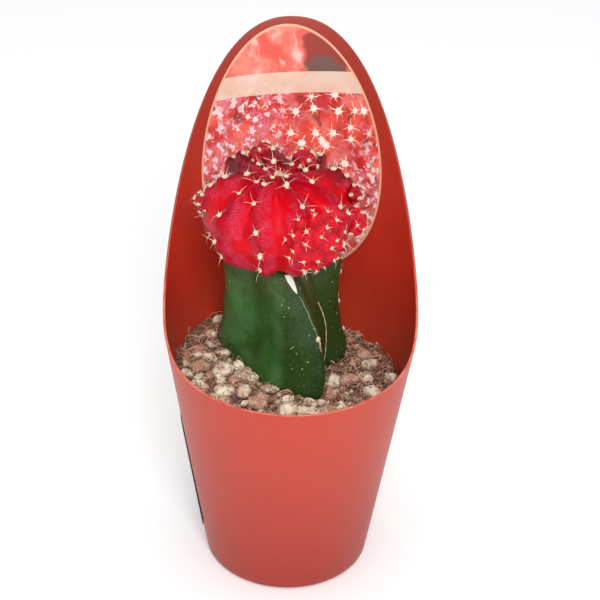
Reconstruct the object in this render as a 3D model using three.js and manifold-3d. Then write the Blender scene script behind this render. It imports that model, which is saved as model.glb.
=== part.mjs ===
// A grafted round cactus in its display pot: a red ribbed scion with offsets sits on a three-winged
// green rootstock, planted in potting mix with loose pumice and bark chips on top. The pot is one thin
// moulded shell whose back rises into a tall tongue that carries an oval picture label.
// Millimetres, +Z up, origin at the centre of the pot's foot, the tongue towards +Y.

import * as THREE from 'three';
import { mergeVertices } from 'three/addons/utils/BufferGeometryUtils.js';
import Module from 'manifold-3d';

const wasm = await Module();
wasm.setup();

// ---------------------------------------------------------------- driving dimensions

// Pot: a cone that flares upwards, with a bell-shaped tongue at the back.
const footRadius = 20;
const wallFlare = 0.154; // outward growth of the radius for each mm of height
const wallThickness = 0.6;
const floorThickness = 1.2;
const footChamfer = 0.8;
const frontRimHeight = 57.6;
const backRimLift = 4.1; // how much higher the rim runs at the back, under the tongue
const tongueRise = 63.2;
const tongueSpread = 58.5; // degrees from the back at which the tongue has dropped to 1/e of its rise
const tongueShoulder = 2.27; // a larger number gives a blunter tongue
const drainHoleRadius = 1.8;
const drainHoleCount = 5;
const drainCircleRadius = 12.5;
const potSegments = 80;

// Picture label inside the tongue: an egg, blunt end down, laid on the unrolled wall.
const labelHeight = 62.3;
const labelWidth = 47.2;
const labelEgg = 0.174; // how much wider its lower half is
const labelTilt = 3; // degrees, anticlockwise as seen from the front
const labelTopMargin = 1.6;
const labelThickness = 0.2;
const labelGap = 0.12;

// Care label outside, at the back left.
const careLabelWidth = 36;
const careLabelHeight = 32.5;
const careLabelFoot = 6; // height of its lower edge
const careLabelBearing = -56; // degrees from the back, negative to the left
const careLabelCorner = 3;

// Potting mix.
const seatGap = 0.3; // between pieces that touch
const soilWallGap = 0.5;
const wateringDepth = 8; // from the front rim down to the mix
const soilLean = 0.1; // the mix lies higher on the left
const soilMound = 1.2; // how far it is heaped up round the stem
const soilSegments = 36;

// Rootstock: a three-winged stem that leans and twists a little as it rises.
const stemFoot = [1, 3.5]; // where its axis leaves the mix
const stemHead = [-2.8, 1.8]; // where its axis meets the graft
const stemHeight = 31; // above the mix
const stemBurial = 12; // below the mix
const stemTwist = -12; // degrees over its height
const wingBearings = [156, -69, 31]; // degrees from +X at the mix: left, front and right wings
const wingLengths = {
  // at these shares of the height above the mix; below 0 the stem is buried
  share: [-0.39, -0.2, 0, 0.14, 0.34, 0.66, 0.9, 1],
  left: [5.5, 13.5, 18.4, 19.0, 18.0, 16.6, 16.0, 15.2],
  front: [5.0, 11.0, 14.9, 15.2, 14.0, 11.6, 9.6, 8.6],
  right: [5.0, 11.0, 14.4, 14.6, 13.2, 13.2, 14.9, 14.0],
  valley: [4.2, 5.8, 6.9, 7.2, 7.2, 7.0, 6.8, 6.4],
};
const wingSharpness = 1.5;
const stemSegments = 42;
const stemRows = 14;

// Scion: a flattened, ribbed globe grafted on the stem's cut top.
const scionRadius = 17.2;
const scionHalfHeight = 14;
const scionRise = 11.9; // its centre above the stem's top
const scionShift = [-0.4, -0.8]; // its centre from the stem's axis
const scionRibs = 9;
const firstRib = -112; // degrees from +X of the rib left of the front
const ribDepth = 0.19; // depth of the furrows, as a share of the radius
const areoleRows = [48, 27, 5, -17, -38]; // degrees of latitude of the tubercles on each rib
const tubercleHeight = 0.05;
const crownDip = 0.16;

// Offsets that grow on the scion: bearing from +X, latitude, radius and how far each one stands out.
const offsets = [
  { name: 'offset_front', bearing: -62, latitude: 4, radius: 6.8, stand: 0.12, ribs: 12 },
  { name: 'offset_right', bearing: -6, latitude: -5, radius: 2.9, stand: 0.5, ribs: 8 },
  { name: 'offset_right_upper', bearing: 6, latitude: 16, radius: 1.9, stand: 0.5, ribs: 7 },
  { name: 'offset_left', bearing: 176, latitude: 8, radius: 2.1, stand: 0.45, ribs: 7 },
  { name: 'offset_crown_left', bearing: 136, latitude: 66, radius: 3.1, stand: 0.25, ribs: 7 },
  { name: 'offset_crown_right', bearing: 12, latitude: 64, radius: 2.7, stand: 0.25, ribs: 7 },
];

// Loose stones and bark chips on the mix: bearing from +X, share of the mix's radius, length, width,
// height and turn about the vertical.
const stoneShape = ['bearing', 'share', 'length', 'width', 'height', 'turn'];
const stoneLift = 0.25; // how far its middle lies above the mix, as a share of its height
const pumice = [
  [-170, 0.62, 5.6, 4.6, 3.8, 20],
  [-162, 0.84, 3.8, 3.0, 2.7, 60],
  [-145, 0.72, 4.8, 3.7, 3.3, 30],
  [-133, 0.6, 4.7, 3.2, 3.4, 100],
  [-158, 0.43, 7.0, 3.2, 2.8, -30],
  [-94, 0.64, 4.9, 4.6, 3.4, 80],
  [-78, 0.68, 6.0, 3.8, 3.0, -5],
  [-120, 0.38, 4.4, 2.3, 2.0, -10],
  [-98, 0.84, 5.0, 2.3, 2.2, 5],
  [-19, 0.4, 4.0, 3.4, 2.8, 80],
  [14, 0.76, 4.1, 3.4, 3.4, 15],
  [-3, 0.69, 4.3, 3.2, 3.0, 110],
  [-18, 0.77, 5.2, 3.2, 2.8, -60],
  [-39, 0.84, 6.4, 3.0, 2.5, 50],
  [104, 0.72, 4.2, 3.4, 3.0, 15],
  [58, 0.78, 3.8, 3.2, 2.8, 75],
  [-152, 0.9, 3.6, 2.6, 2.4, 20],
  [-108, 0.83, 3.2, 2.4, 2.2, 70],
  [-136, 0.82, 3.4, 2.6, 2.3, -60],
];
const barkChips = [
  [-176, 0.8, 4.2, 3.2, 2.4, -20],
  [166, 0.87, 3.8, 3.0, 2.5, 35],
  [-116, 0.62, 4.8, 4.8, 3.8, 10],
  [-62, 0.7, 5.6, 4.0, 2.8, 25],
  [-45, 0.5, 3.4, 2.8, 2.8, 80],
  [-8, 0.53, 3.8, 3.0, 2.2, 20],
  [128, 0.8, 4.0, 3.2, 2.6, -30],
  [38, 0.62, 3.6, 2.6, 2.2, -60],
  [-166, 0.72, 3.4, 2.8, 2.2, 50],
];

// ---------------------------------------------------------------- derived sizes

const soilLevel = frontRimHeight - wateringDepth;
const wallAngle = Math.atan(wallFlare);
const wallCut = wallThickness / Math.cos(wallAngle); // the wall's thickness measured level
const outerRadius = (z) => footRadius + wallFlare * z;
const innerRadius = (z) => outerRadius(z) - wallCut;
const soilRadius = (z) => innerRadius(z) - soilWallGap;
const stemTop = soilLevel + stemHeight;
const scionCentre = new THREE.Vector3(
  stemHead[0] + scionShift[0],
  stemHead[1] + scionShift[1],
  stemTop + scionRise,
);

// Height of the pot's cut edge at a bearing from the back, in radians.
function rimHeight(bearing) {
  const back = (1 + Math.cos(bearing)) / 2;
  const spread = Math.abs(bearing) / THREE.MathUtils.degToRad(tongueSpread);
  return frontRimHeight + backRimLift * back + tongueRise * Math.exp(-(spread ** tongueShoulder));
}

function soilHeight(x, y) {
  const fromStem = Math.hypot(x - stemFoot[0], y - stemFoot[1]) / soilRadius(soilLevel);
  const ripple = 0.35 * Math.sin(0.55 * x + 1.1) * Math.cos(0.47 * y - 0.6);
  return soilLevel - soilLean * x + soilMound * Math.exp(-((fromStem / 0.55) ** 2)) + ripple;
}

// ---------------------------------------------------------------- shared helpers

const colours = {
  pot: { color: 0xbf4a35, roughness: 0.42, metalness: 0 },
  picture: { color: 0xe8504a, roughness: 0.35, metalness: 0 },
  care: { color: 0x17130f, roughness: 0.5, metalness: 0 },
  soil: { color: 0x6b4636, roughness: 0.95, metalness: 0 },
  pumice: { color: 0xc9b48f, roughness: 0.9, metalness: 0 },
  bark: { color: 0xa06a55, roughness: 0.95, metalness: 0 },
  stem: { color: 0x1f5a2b, roughness: 0.45, metalness: 0 },
  scion: { color: 0xc8102e, roughness: 0.4, metalness: 0 },
};

function piece(name, geometry, finish, parent) {
  const mesh = new THREE.Mesh(geometry, new THREE.MeshStandardMaterial(colours[finish]));
  mesh.name = name;
  parent.add(mesh);
  return mesh;
}

// A closed geometry as a solid for joining and cutting.
function solidOf(geometry) {
  const bare = geometry.clone();
  bare.deleteAttribute('normal');
  bare.deleteAttribute('uv');
  const merged = mergeVertices(bare, 1e-4);
  const mesh = new wasm.Mesh({
    numProp: 3,
    vertProperties: new Float32Array(merged.attributes.position.array),
    triVerts: new Uint32Array(merged.index.array),
  });
  return new wasm.Manifold(mesh);
}

function geometryOf(solid) {
  const mesh = solid.getMesh();
  const geometry = new THREE.BufferGeometry();
  geometry.setAttribute('position', new THREE.BufferAttribute(new Float32Array(mesh.vertProperties), 3));
  geometry.setIndex(new THREE.BufferAttribute(new Uint32Array(mesh.triVerts), 1));
  geometry.computeVertexNormals();
  return geometry;
}

// Moves each vertex of a geometry with a function of its position.
function warp(geometry, move) {
  const position = geometry.attributes.position;
  const point = new THREE.Vector3();
  for (let i = 0; i < position.count; i++) {
    point.fromBufferAttribute(position, i);
    move(point);
    position.setXYZ(i, point.x, point.y, point.z);
  }
  geometry.computeVertexNormals();
  return geometry;
}

// A profile of [radius, height] pairs spun about +Z.
function lathe(profile, segments) {
  const points = profile.map(([radius, height]) => new THREE.Vector2(radius, height));
  return new THREE.LatheGeometry(points, segments).rotateX(Math.PI / 2);
}

// A smooth curve through values at the given stations.
function smoothThrough(stations, values) {
  return (at) => {
    const last = stations.length - 1;
    const clamped = Math.min(Math.max(at, stations[0]), stations[last]);
    let i = stations.findIndex((s) => s >= clamped);
    i = Math.max(i, 1);
    const share = (clamped - stations[i - 1]) / (stations[i] - stations[i - 1]);
    const before = values[Math.max(i - 2, 0)];
    const after = values[Math.min(i + 1, last)];
    const slopeIn = (values[i] - before) / 2;
    const slopeOut = (after - values[i - 1]) / 2;
    const s2 = share * share;
    const s3 = s2 * share;
    return (
      (2 * s3 - 3 * s2 + 1) * values[i - 1] +
      (s3 - 2 * s2 + share) * slopeIn +
      (3 * s2 - 2 * s3) * values[i] +
      (s3 - s2) * slopeOut
    );
  };
}

// ---------------------------------------------------------------- pot

// A thin cup whose upper edge follows rimHeight all the way round.
function potGeometry() {
  const profile = [
    [0, 0],
    [footRadius - footChamfer, 0],
    [outerRadius(footChamfer), footChamfer],
    [outerRadius(frontRimHeight), frontRimHeight],
    [innerRadius(frontRimHeight), frontRimHeight],
    [innerRadius(floorThickness), floorThickness],
    [0, floorThickness],
  ];
  const cup = warp(lathe(profile, potSegments), (p) => {
    if (p.z < frontRimHeight - 0.01) return;
    const radius = Math.hypot(p.x, p.y);
    const height = rimHeight(Math.atan2(p.x, p.y));
    const grown = (radius + wallFlare * (height - p.z)) / radius;
    p.set(p.x * grown, p.y * grown, height);
  });
  let solid = solidOf(cup);
  for (let i = 0; i < drainHoleCount; i++) {
    const angle = (2 * Math.PI * (i + 0.25)) / drainHoleCount;
    const drill = new THREE.CylinderGeometry(drainHoleRadius, drainHoleRadius, 4 * floorThickness, 16);
    drill.rotateX(Math.PI / 2);
    drill.translate(drainCircleRadius * Math.cos(angle), drainCircleRadius * Math.sin(angle), 0);
    solid = solid.subtract(solidOf(drill));
  }
  return geometryOf(solid);
}

// ---------------------------------------------------------------- labels

const slantToFoot = footRadius / Math.sin(wallAngle); // from the cone's apex to the foot circle

// Where a point of the unrolled wall lies: its bearing from the back and its height.
function onWall(across, up, bearing) {
  const slant = Math.hypot(across, up + slantToFoot);
  const turned = Math.atan2(across, up + slantToFoot) / Math.sin(wallAngle);
  return { bearing: bearing + turned, height: (slant - slantToFoot) * Math.cos(wallAngle) };
}

// A thin layer on the wall, cut to an outline that is drawn flat on the unrolled wall.
function wallLabel(outline, bearing, innerFace) {
  const near = 3;
  const far = 6 * footRadius;
  const reach = frontRimHeight + backRimLift + tongueRise + 20;
  const outerFace = (z) => innerFace(z) + labelThickness;
  const layer = lathe(
    [
      [innerFace(1), 1],
      [outerFace(1), 1],
      [outerFace(reach), reach],
      [innerFace(reach), reach],
      [innerFace(1), 1],
    ],
    potSegments,
  );
  const slab = new THREE.ExtrudeGeometry(outline, { depth: 1, bevelEnabled: false, curveSegments: 4 });
  const cutter = warp(slab, (p) => {
    const place = onWall(p.x, p.y, bearing);
    const radius = p.z > 0.5 ? near : far;
    p.set(radius * Math.sin(place.bearing), radius * Math.cos(place.bearing), place.height);
  });
  return geometryOf(solidOf(layer).intersect(solidOf(cutter)));
}

function pictureLabelGeometry() {
  const wallTop = (frontRimHeight + backRimLift + tongueRise) / Math.cos(wallAngle);
  const centre = wallTop - labelTopMargin - labelHeight / 2;
  const tilt = THREE.MathUtils.degToRad(labelTilt);
  const points = [];
  const steps = 44;
  for (let i = 0; i < steps; i++) {
    const a = (2 * Math.PI * i) / steps;
    const x = (labelWidth / 2) * (1 - labelEgg * Math.sin(a)) * Math.cos(a);
    const y = (labelHeight / 2) * Math.sin(a);
    const point = new THREE.Vector2(x, y).rotateAround(new THREE.Vector2(0, 0), tilt);
    points.push(point.setY(centre + point.y));
  }
  const face = (z) => innerRadius(z) - labelGap - labelThickness;
  return wallLabel(new THREE.Shape(points), 0, face);
}

function careLabelGeometry() {
  const outline = new THREE.Shape();
  const left = -careLabelWidth / 2;
  const right = careLabelWidth / 2;
  const low = careLabelFoot / Math.cos(wallAngle);
  const high = low + careLabelHeight;
  const c = careLabelCorner;
  outline.moveTo(left + c, low);
  outline.lineTo(right - c, low);
  outline.absarc(right - c, low + c, c, -Math.PI / 2, 0);
  outline.lineTo(right, high - c);
  outline.absarc(right - c, high - c, c, 0, Math.PI / 2);
  outline.lineTo(left + c, high);
  outline.absarc(left + c, high - c, c, Math.PI / 2, Math.PI);
  outline.lineTo(left, low + c);
  outline.absarc(left + c, low + c, c, Math.PI, 1.5 * Math.PI);
  return wallLabel(outline, THREE.MathUtils.degToRad(careLabelBearing), (z) => outerRadius(z) + labelGap);
}

// ---------------------------------------------------------------- rootstock

// The winged stem, grown outwards by a margin so that it can also cut its own seat.
function stemGeometry(margin) {
  const first = wingLengths.share[0];
  const curve = (key) => smoothThrough(wingLengths.share, wingLengths[key]);
  const tips = [curve('left'), curve('front'), curve('right')];
  const valley = curve('valley');
  const profile = [];
  for (let j = 0; j <= stemRows; j++) profile.push([1, j / stemRows]);
  const tube = lathe([[0, 0], ...profile, [0, 1]], stemSegments);
  return warp(tube, (p) => {
    const share = first + p.z * (1 - first);
    const above = Math.max(share, 0);
    const angle = THREE.MathUtils.radToDeg(Math.atan2(p.y, p.x));
    const twist = stemTwist * above;
    let reach = 0;
    if (Math.hypot(p.x, p.y) > 0.5) {
      // the two wings on either side of this direction
      for (let w = 0; w < 3; w++) {
        const from = wingBearings[w] + twist;
        const to = wingBearings[(w + 1) % 3] + twist;
        const span = (((to - from) % 360) + 360) % 360;
        const past = (((angle - from) % 360) + 360) % 360;
        if (past > span) continue;
        const t = past / span;
        const lobe = ((1 + Math.cos(2 * Math.PI * t)) / 2) ** wingSharpness;
        const tip = t < 0.5 ? tips[w](share) : tips[(w + 1) % 3](share);
        reach = valley(share) + (tip - valley(share)) * lobe + margin;
      }
    }
    const lean = (1 + above) * above * 0.5;
    const axisX = THREE.MathUtils.lerp(stemFoot[0], stemHead[0], lean);
    const axisY = THREE.MathUtils.lerp(stemFoot[1], stemHead[1], lean);
    const dome = reach === 0 ? 0 : 1;
    const turn = THREE.MathUtils.degToRad(angle);
    let height = share >= 0 ? soilLevel + share * stemHeight : soilLevel + (share / -first) * stemBurial;
    if (p.z > 0.999) height += margin;
    if (p.z < 0.001) height -= margin + (1 - dome) * 0.8;
    p.set(axisX + reach * Math.cos(turn), axisY + reach * Math.sin(turn), height);
  });
}

// ---------------------------------------------------------------- scion and offsets

// A ribbed globe about its own +Z axis, with a tubercle wherever a rib carries an areole.
function ribbedGlobe({ radius, halfHeight, ribs, phase, rows, across, down, depth, bump }) {
  const globe = new THREE.SphereGeometry(1, across, down).rotateX(Math.PI / 2);
  return warp(globe, (p) => {
    const latitude = THREE.MathUtils.radToDeg(Math.asin(THREE.MathUtils.clamp(p.z, -1, 1)));
    const bearing = Math.atan2(p.y, p.x) - phase;
    const turns = ((bearing * ribs) / (2 * Math.PI)) % 1;
    const between = Math.abs(((turns + 1.5) % 1) - 0.5) * 2; // 0 on a rib, 1 in a furrow
    const girth = Math.cos(THREE.MathUtils.degToRad(latitude));
    const furrow = depth * between ** 1.5 * Math.min(1, 1.4 * girth);
    const nearest = Math.min(...rows.map((row) => Math.abs(row - latitude)));
    const tubercle = bump * Math.exp(-((nearest / 8) ** 2)) * (1 - between) * Math.min(1, 1.6 * girth);
    const dip = p.z > 0 ? crownDip * Math.exp(-((girth / 0.3) ** 2)) : 0;
    const out = 1 - furrow + tubercle;
    p.set(p.x * out * radius, p.y * out * radius, p.z * (1 - 0.35 * furrow - dip) * halfHeight);
  });
}

function scionGeometry(margin) {
  return ribbedGlobe({
    radius: scionRadius + margin,
    halfHeight: scionHalfHeight + margin,
    ribs: scionRibs,
    phase: THREE.MathUtils.degToRad(firstRib),
    rows: areoleRows,
    across: 45,
    down: 16,
    depth: ribDepth,
    bump: tubercleHeight,
  }).translate(...scionCentre);
}

// One offset, pointing outwards from the scion at its bearing and latitude.
function offsetGeometry(offset) {
  const bearing = THREE.MathUtils.degToRad(offset.bearing);
  const latitude = THREE.MathUtils.degToRad(offset.latitude);
  const direction = new THREE.Vector3(
    Math.cos(latitude) * Math.cos(bearing),
    Math.cos(latitude) * Math.sin(bearing),
    Math.sin(latitude),
  );
  const surface = new THREE.Vector3(
    direction.x * scionRadius,
    direction.y * scionRadius,
    direction.z * scionHalfHeight,
  ).multiplyScalar(0.93);
  const centre = scionCentre.clone().add(surface).addScaledVector(direction, offset.stand * offset.radius);
  const turn = new THREE.Quaternion().setFromUnitVectors(new THREE.Vector3(0, 0, 1), direction);
  return ribbedGlobe({
    radius: offset.radius,
    halfHeight: offset.radius * 0.92,
    ribs: offset.ribs,
    phase: 0,
    rows: [60, 25, -10],
    across: 16,
    down: 9,
    depth: 0.14,
    bump: 0.06,
  })
    .applyQuaternion(turn)
    .translate(...centre);
}

// ---------------------------------------------------------------- stones and potting mix

// An irregular pebble about its own centre; each stone has its own number.
function stoneGeometry(length, width, height, number) {
  return warp(new THREE.DodecahedronGeometry(0.53, 0), (p) => {
    const wobbleX = Math.sin(9.1 * p.x + number * 1.7);
    const wobbleY = Math.cos(8.3 * p.y - number * 2.3);
    const wobbleZ = Math.sin(7.7 * p.z + number);
    const size = 1 + 0.055 * (wobbleX + wobbleY + wobbleZ);
    p.set(p.x * length * size, p.y * width * size, p.z * height * size);
  });
}

// Where stone number i lies: on the mix, a little sunk in, turned about the vertical.
function stonePlace(stone) {
  const bearing = THREE.MathUtils.degToRad(stone.bearing);
  const distance = stone.share * soilRadius(soilLevel);
  const x = distance * Math.cos(bearing);
  const y = distance * Math.sin(bearing);
  return new THREE.Matrix4()
    .makeRotationZ(THREE.MathUtils.degToRad(stone.turn))
    .setPosition(x, y, soilHeight(x, y) + stoneLift * stone.height);
}

function soilGeometry() {
  const bottom = floorThickness + seatGap;
  const shares = [0.85, 0.6, 0.35, 0];
  const profile = [
    [0, bottom],
    [soilRadius(bottom), bottom],
    [soilRadius(soilLevel), soilLevel],
    ...shares.map((share) => [share * soilRadius(soilLevel), soilLevel]),
  ];
  return warp(lathe(profile, soilSegments), (p) => {
    if (p.z < soilLevel - 0.01) return;
    const radius = Math.hypot(p.x, p.y);
    const height = soilHeight(p.x, p.y);
    const grown = radius > 0 ? 1 + (wallFlare * (height - soilLevel)) / soilRadius(soilLevel) : 1;
    p.set(p.x * grown, p.y * grown, height);
  });
}

// ---------------------------------------------------------------- assembly

const pottedCactus = new THREE.Group();
const holder = new THREE.Group();
const bed = new THREE.Group();
const plant = new THREE.Group();
pottedCactus.add(holder, bed, plant);

piece('pot', potGeometry(), 'pot', holder);
piece('picture_label', pictureLabelGeometry(), 'picture', holder);
piece('care_label', careLabelGeometry(), 'care', holder);

piece('rootstock', stemGeometry(0), 'stem', plant);
const stemSeat = solidOf(stemGeometry(seatGap));
const scionSolid = solidOf(scionGeometry(0)).subtract(stemSeat);
piece('scion', geometryOf(scionSolid), 'scion', plant);
const scionSeat = solidOf(scionGeometry(seatGap));
for (const offset of offsets) {
  const solid = solidOf(offsetGeometry(offset)).subtract(scionSeat).subtract(stemSeat);
  piece(offset.name, geometryOf(solid), 'scion', plant);
}

// Each stone keeps clear of the stem, of the wall and of the stones laid before it.
let taken = stemSeat;
const innerSpace = solidOf(
  lathe(
    [
      [0, floorThickness],
      [soilRadius(floorThickness), floorThickness],
      [soilRadius(stemTop), stemTop],
      [0, stemTop],
    ],
    potSegments,
  ),
);
let number = 0;
for (const [name, finish, rows] of [
  ['pumice', 'pumice', pumice],
  ['bark_chip', 'bark', barkChips],
]) {
  rows.forEach((row, i) => {
    number += 1;
    const stone = Object.fromEntries(stoneShape.map((key, k) => [key, row[k]]));
    const place = stonePlace(stone);
    const shape = (gap) => {
      const sides = [stone.length, stone.width, stone.height].map((side) => side + 2 * gap);
      return stoneGeometry(...sides, number).applyMatrix4(place);
    };
    const solid = solidOf(shape(0)).subtract(taken).intersect(innerSpace);
    const label = name + '_' + String(i + 1).padStart(2, '0');
    piece(label, geometryOf(solid), finish, bed);
    taken = taken.add(solidOf(shape(seatGap)));
  });
}
piece('potting_mix', geometryOf(solidOf(soilGeometry()).subtract(taken)), 'soil', bed);

export default pottedCactus;
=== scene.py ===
import random
from math import asin, atan, atan2, copysign, cos, degrees, exp, hypot, pi, radians, sin, sqrt

import bmesh
import bpy
from mathutils import Matrix, Quaternion, Vector, noise


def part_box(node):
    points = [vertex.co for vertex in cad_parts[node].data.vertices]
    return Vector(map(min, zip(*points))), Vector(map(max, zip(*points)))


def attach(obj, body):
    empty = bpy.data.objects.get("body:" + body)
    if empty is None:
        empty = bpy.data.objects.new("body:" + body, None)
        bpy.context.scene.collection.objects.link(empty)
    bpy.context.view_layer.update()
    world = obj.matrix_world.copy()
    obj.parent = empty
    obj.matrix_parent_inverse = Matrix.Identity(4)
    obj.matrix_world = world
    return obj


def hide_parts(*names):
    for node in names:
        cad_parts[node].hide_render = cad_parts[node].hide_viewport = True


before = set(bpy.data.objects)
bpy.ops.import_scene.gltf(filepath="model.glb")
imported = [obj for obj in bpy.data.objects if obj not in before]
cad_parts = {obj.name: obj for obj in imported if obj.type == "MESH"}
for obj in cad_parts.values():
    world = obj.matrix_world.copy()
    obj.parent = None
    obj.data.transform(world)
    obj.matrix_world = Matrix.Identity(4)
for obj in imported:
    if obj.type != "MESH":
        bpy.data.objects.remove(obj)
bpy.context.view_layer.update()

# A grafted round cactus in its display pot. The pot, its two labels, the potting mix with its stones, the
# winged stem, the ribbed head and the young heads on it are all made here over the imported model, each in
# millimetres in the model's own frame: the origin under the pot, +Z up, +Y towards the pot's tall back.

MM = 0.001
TURN = 2 * pi
UP = Vector((0, 0, 1))

# ------------------------------------------------------------------ sizes, in millimetres

FOOT_RADIUS = 20.0
WALL_FLARE = 0.154
WALL_THICKNESS = 0.6
EDGE_ROUNDING = 0.16
FRONT_RIM = 57.6
BACK_RIM_LIFT = 4.1
TONGUE_RISE = 63.2
TONGUE_SPREAD = radians(58.5)
TONGUE_SHOULDER = 2.27
DRAIN_HOLES = 5
DRAIN_CIRCLE = 12.5
DRAIN_RADIUS = 1.8

LABEL_HALF_HEIGHT = 31.15
LABEL_HALF_WIDTH = 23.6
LABEL_EGG = 0.174
LABEL_TILT = radians(3)
LABEL_TOP_MARGIN = 1.6
LABEL_THICKNESS = 0.2
LABEL_GAP = 0.12
CARE_WIDTH = 36.0
CARE_HEIGHT = 32.5
CARE_FOOT = 6.0
CARE_BEARING = radians(-56)
CARE_CORNER = 3.0

SOIL_LEVEL = 49.6
SOIL_LEAN = 0.1
SOIL_MOUND = 1.2

STEM_FOOT = (1.0, 3.5)
STEM_HEAD = (-2.8, 1.8)
STEM_HEIGHT = 31.0
STEM_BURIAL = 12.0
STEM_TWIST = -12.0
WING_BEARINGS = (156.0, 291.0, 391.0)
WING_SHARES = (-0.39, -0.2, 0, 0.14, 0.34, 0.66, 0.9, 1)
WING_LENGTHS = (
    (5.5, 13.5, 18.4, 19.0, 18.0, 16.6, 16.0, 15.2),
    (5.0, 11.0, 14.9, 15.2, 14.0, 11.6, 9.6, 8.6),
    (5.0, 11.0, 14.4, 14.6, 13.2, 13.2, 14.9, 14.0),
)
VALLEY = (4.2, 5.8, 6.9, 7.2, 7.2, 7.0, 6.8, 6.4)
WING_SHARPNESS = 1.75

HEAD_RADIUS = 17.2
HEAD_HALF_HEIGHT = 14.0
HEAD_CENTRE = Vector((-3.2, 1.0, 92.5))
HEAD_TILT = radians(21)  # how far the growing point leans towards the front
HEAD_TILT_BEARING = radians(-8)
# each rib's bearing from the front at the equator and near the crown, degrees towards +X
RIBS = (
    (-15, -27), (20, 22), (58, 62), (99, 101), (140, 141),
    (180, 180), (221, 221), (264, 270), (304, 311),
)


# ------------------------------------------------------------------ finishes


class Wire:
    """A socket of a finish's nodes. A sum written on it becomes Math nodes."""

    def __init__(self, finish, socket):
        self.finish = finish
        self.socket = socket

    def math(self, operation, *others):
        values = dict(enumerate((self, *others)))
        return self.finish.node("ShaderNodeMath", {"operation": operation}, values)

    def __abs__(self):
        return self.math("ABSOLUTE")

    def most(self, other):
        return self.math("MAXIMUM", other)

    def step(self, low, high):
        """0 at low and 1 at high, with a smooth rise between them."""
        settings = {"interpolation_type": "SMOOTHSTEP"}
        return self.finish.node("ShaderNodeMapRange", settings, {0: self, 1: low, 2: high})


def sum_of(operation, swapped):
    """What an arithmetic sign does with a Wire and another Wire or a number."""

    def work(wire, other):
        pair = (other, wire) if swapped else (wire, other)
        return wire.finish.node("ShaderNodeMath", {"operation": operation}, dict(enumerate(pair)))

    return work


SIGNS = {"add": "ADD", "sub": "SUBTRACT", "mul": "MULTIPLY", "truediv": "DIVIDE", "pow": "POWER"}
for sign, operation in SIGNS.items():
    setattr(Wire, f"__{sign}__", sum_of(operation, False))
    setattr(Wire, f"__r{sign}__", sum_of(operation, True))


class Finish:
    """One material: a Principled shader and the nodes that vary it over the surface."""

    def __init__(self, name, **constants):
        self.material = bpy.data.materials.new(name)
        self.material.use_nodes = True
        self.tree = self.material.node_tree
        self.shader = self.tree.nodes["Principled BSDF"]
        for socket, value in constants.items():
            self.shader.inputs[socket.replace("_", " ")].default_value = value

    def node(self, kind, settings=None, values=None, out=0):
        node = self.tree.nodes.new(kind)
        for key, value in (settings or {}).items():
            setattr(node, key, value)
        for key, value in (values or {}).items():
            self.put(node.inputs[key], value)
        return node if out is None else Wire(self, node.outputs[out])

    def put(self, socket, value):
        if isinstance(value, Wire):
            self.tree.links.new(value.socket, socket)
        elif isinstance(value, (tuple, list)) and socket.type == "RGBA":
            socket.default_value = (*value[:3], 1)
        else:
            socket.default_value = value

    def vary(self, **links):
        for socket, value in links.items():
            self.put(self.shader.inputs[socket.replace("_", " ")], value)

    def vector(self, operation, values):
        return self.node("ShaderNodeVectorMath", {"operation": operation}, values)

    def place(self):
        """The piece's own coordinates, in millimetres."""
        where = self.node("ShaderNodeTexCoord", out="Object")
        return self.vector("SCALE", {0: where, "Scale": 1 / MM})

    def flat_place(self):
        """The place on an unrolled sheet, in millimetres from its middle."""
        where = self.node("ShaderNodeTexCoord", out="UV")
        middle = self.vector("SUBTRACT", {0: where, 1: (0.5, 0.5, 0)})
        return self.vector("SCALE", {0: middle, "Scale": SHEET_SPAN})

    def stretched(self, place, shares):
        return self.vector("MULTIPLY", {0: place, 1: shares})

    def split(self, vector):
        node = self.node("ShaderNodeSeparateXYZ", values={0: vector}, out=None)
        return [Wire(self, output) for output in node.outputs]

    def attribute(self, name):
        return self.node("ShaderNodeAttribute", {"attribute_name": name}, out="Fac")

    def noise(self, place, size, detail=3.0, roughness=0.55, distortion=0.0):
        """Soft noise from 0 to 1 whose blotches are about size millimetres across."""
        values = {"Vector": place, "Scale": 1 / size, "Detail": detail}
        values |= {"Roughness": roughness, "Distortion": distortion}
        return self.node("ShaderNodeTexNoise", values=values)

    def cells(self, place, size, feature="F1", out="Distance", dimensions="3D", randomness=1.0):
        settings = {"feature": feature, "voronoi_dimensions": dimensions}
        values = {"Vector": place, "Scale": 1 / size, "Randomness": randomness}
        return self.node("ShaderNodeTexVoronoi", settings, values, out)

    def mix(self, factor, first, second):
        return self.node("ShaderNodeMix", {"data_type": "RGBA"}, {0: factor, 6: first, 7: second}, out=2)

    def ground(self, factor, first, second):
        """The first layer of colour, mixed from two tones."""
        self.base = self.mix(factor, colour(*first), colour(*second))

    def paint(self, factor, *tone):
        """A tone laid over the colour so far."""
        self.base = self.mix(factor, self.base, colour(*tone))

    def done(self, roughness, height, distance, strength=1.0):
        """Links the colour, the roughness and the relief, and gives the material."""
        self.vary(Base_Color=self.base, Roughness=roughness)
        self.bump(height, distance, strength)
        return self.material

    def bump(self, height, distance, strength=1.0):
        """Relief of distance millimetres where height goes from 0 to 1."""
        values = {"Strength": strength, "Distance": distance * MM, "Height": height}
        self.vary(Normal=self.node("ShaderNodeBump", values=values))


def colour(red, green, blue):
    """A colour given as it looks on a screen, from 0 to 255, as the shader's own linear values."""

    def linear(value):
        value /= 255
        return value / 12.92 if value <= 0.04045 else ((value + 0.055) / 1.055) ** 2.4

    return (linear(red), linear(green), linear(blue), 1)


SHEET_SPAN = 100.0  # millimetres that a sheet's UV map covers


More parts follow.
